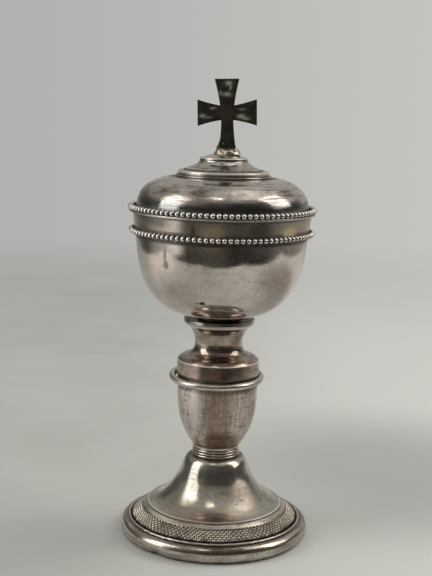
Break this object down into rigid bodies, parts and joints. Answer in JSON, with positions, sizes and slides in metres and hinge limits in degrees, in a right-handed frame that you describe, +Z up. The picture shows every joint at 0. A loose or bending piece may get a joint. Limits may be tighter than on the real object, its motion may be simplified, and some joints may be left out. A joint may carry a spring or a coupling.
{
  "type": "ciborium",
  "caption": "Covered altar cup: domed lid with a flared cross, round-bottomed bowl with beaded wires, turned stem with a vase-shaped knop, round foot with a bell.",
  "frame": {"origin": "centre of the ring that the foot stands on", "axes": "+Z up along the stem, +X to the right of the cross's front, -Y towards the viewer of the cross's front"},
  "size_m": [0.0816, 0.0816, 0.1967],
  "materials": {
    "silver": "aged silver, satin, with warm grey and brown tarnish",
    "worn_silver": "aged silver, duller and darker, with tarnish in the recesses",
    "bright_silver": "silver rubbed bright on its high points",
    "blackened": "blackened metal, worn pale in patches",
    "solder": "dull grey solder",
    "brass": "dull yellow brass"
  },
  "bodies": {
    "cup": {"foot_base": "silver", "foot_band": "worn_silver", "foot_fillet": "worn_silver", "foot_bell": "silver", "foot_washer": "brass", "foot_nut": "brass", "tie_rod": "brass", "reeded_collar": "silver", "knop_vase": "silver", "knop_plate": "worn_silver", "knop_wire": "bright_silver", "neck_spool": "silver", "neck_disc": "worn_silver", "bowl_boss": "brass", "bowl": "silver", "cup_bead_wire": "bright_silver"},
    "lid": {"lid_bezel": "silver", "lid_flange": "worn_silver", "lid_bead_wire": "bright_silver", "lid_dome": "silver", "finial_mount": "silver", "finial_stud": "brass", "finial_washer": "brass", "finial_nut": "brass", "cross_collar": "solder", "cross": "blackened"}
  },
  "joints": [
    {"name": "lid_lift", "type": "slide", "parent": "cup", "child": "lid", "axis": [0, 0, 1], "range_m": [0, 0.06]}
  ]
}
